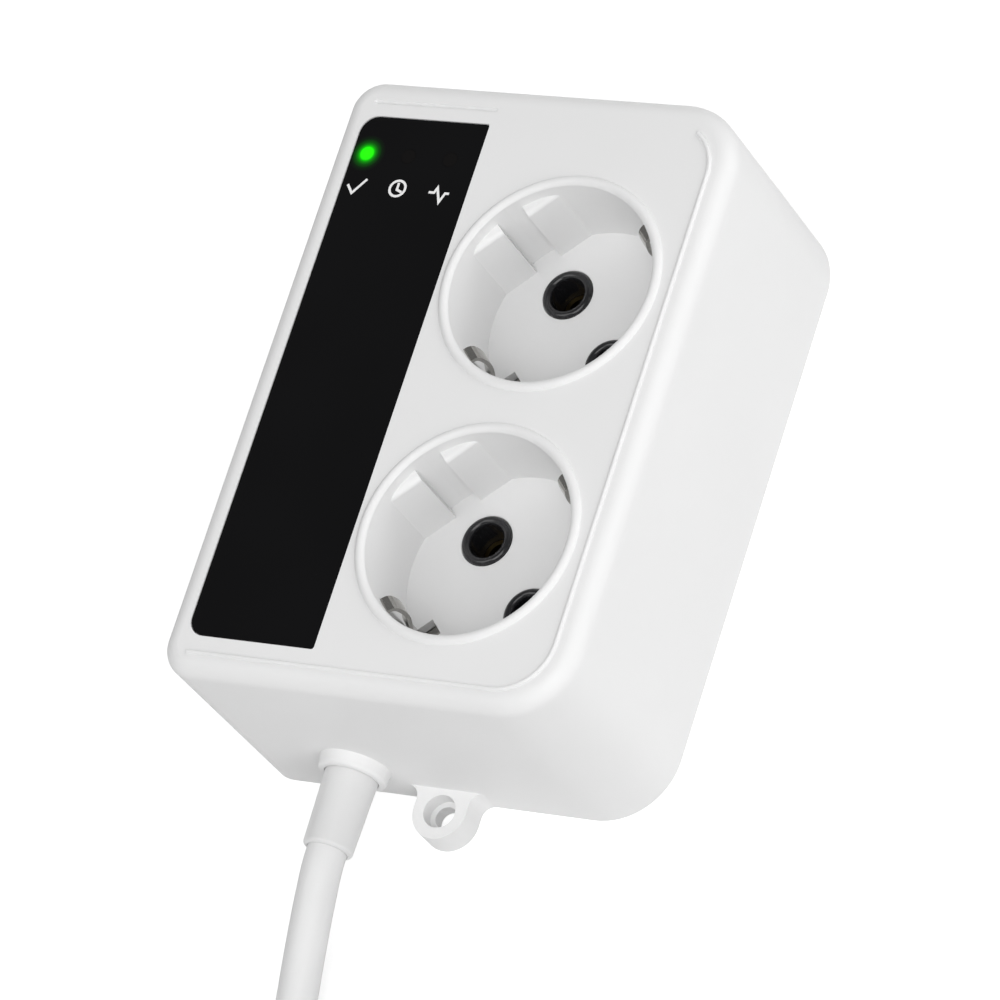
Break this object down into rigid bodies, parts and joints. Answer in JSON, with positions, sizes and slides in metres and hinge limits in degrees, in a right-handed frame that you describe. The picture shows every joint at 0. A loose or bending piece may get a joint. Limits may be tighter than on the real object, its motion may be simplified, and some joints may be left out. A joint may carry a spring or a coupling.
{
  "type": "appliance voltage protector",
  "caption": "White voltage protector with round earthed sockets, a black indicator panel with small lamps, screw ears and a corded round plug",
  "frame": {"origin": "middle of the housing's back, in the plane that lies against the wall", "axes": "+X across the housing towards the sockets, +Y along it towards the indicator lamps, +Z out of the face"},
  "size_m": [0.1028, 0.3848, 0.0492],
  "materials": {
    "housing_shell": "satin moulded plastic",
    "panel_black": "gloss",
    "lens_lit_green": "gloss",
    "lens_dark": "gloss",
    "led_green": "gloss",
    "led_amber": "gloss",
    "led_red": "gloss",
    "screw_steel": "zinc plated",
    "board_green": "solder mask",
    "relay_blue": "satin",
    "film_yellow": "gloss",
    "can_sleeve": "gloss",
    "varistor_blue": "coated",
    "chip_black": "matte",
    "resistor_tan": "coated",
    "fuse_ceramic": "glazed",
    "terminal_green": "matte",
    "tinned_metal": "tinned",
    "carrier_black": "satin",
    "contact_brass": "bare",
    "spring_metal": "nickel plated",
    "relief_white": "satin",
    "clamp_fibre": "matte",
    "core_brown": "matte",
    "core_blue": "matte",
    "core_earth_green": "matte",
    "core_black": "matte",
    "cord_sheath": "satin",
    "tie_black": "matte",
    "plug_shell": "satin",
    "pin_metal": "nickel plated"
  },
  "bodies": {
    "root": {"housing": "housing_shell", "rear_cover": "housing_shell", "cover_screws": "screw_steel", "indicator_panel": "panel_black", "green_lens": "lens_lit_green", "amber_lens": "lens_dark", "red_lens": "lens_dark", "green_led": "led_green", "amber_led": "led_amber", "red_led": "led_red", "led_spacers": "chip_black", "control_board": "board_green", "board_screws": "screw_steel", "relay": "relay_blue", "power_capacitor": "film_yellow", "smoothing_capacitors": "can_sleeve", "varistor": "varistor_blue", "control_chip": "chip_black", "resistors": "resistor_tan", "fuse": "fuse_ceramic", "fuse_clips": "tinned_metal", "terminal_block": "terminal_green", "contact_carrier_upper": "carrier_black", "contact_carrier_lower": "carrier_black", "carrier_screws": "screw_steel", "live_busbar": "contact_brass", "neutral_busbar": "contact_brass", "earth_strap_upper": "spring_metal", "earth_strap_lower": "spring_metal", "strain_relief": "relief_white", "clamp_bar": "clamp_fibre", "clamp_screws": "screw_steel", "core_live": "core_brown", "core_neutral": "core_blue", "core_earth": "core_earth_green", "live_link": "core_black", "neutral_link": "core_blue", "earth_link": "core_earth_green", "power_cord": "cord_sheath", "cord_coil": "cord_sheath", "coil_tie": "tie_black", "cord_tail": "cord_sheath", "plug_body": "plug_shell", "plug_pins": "pin_metal", "plug_earth_strips": "pin_metal"}
  },
  "joints": []
}
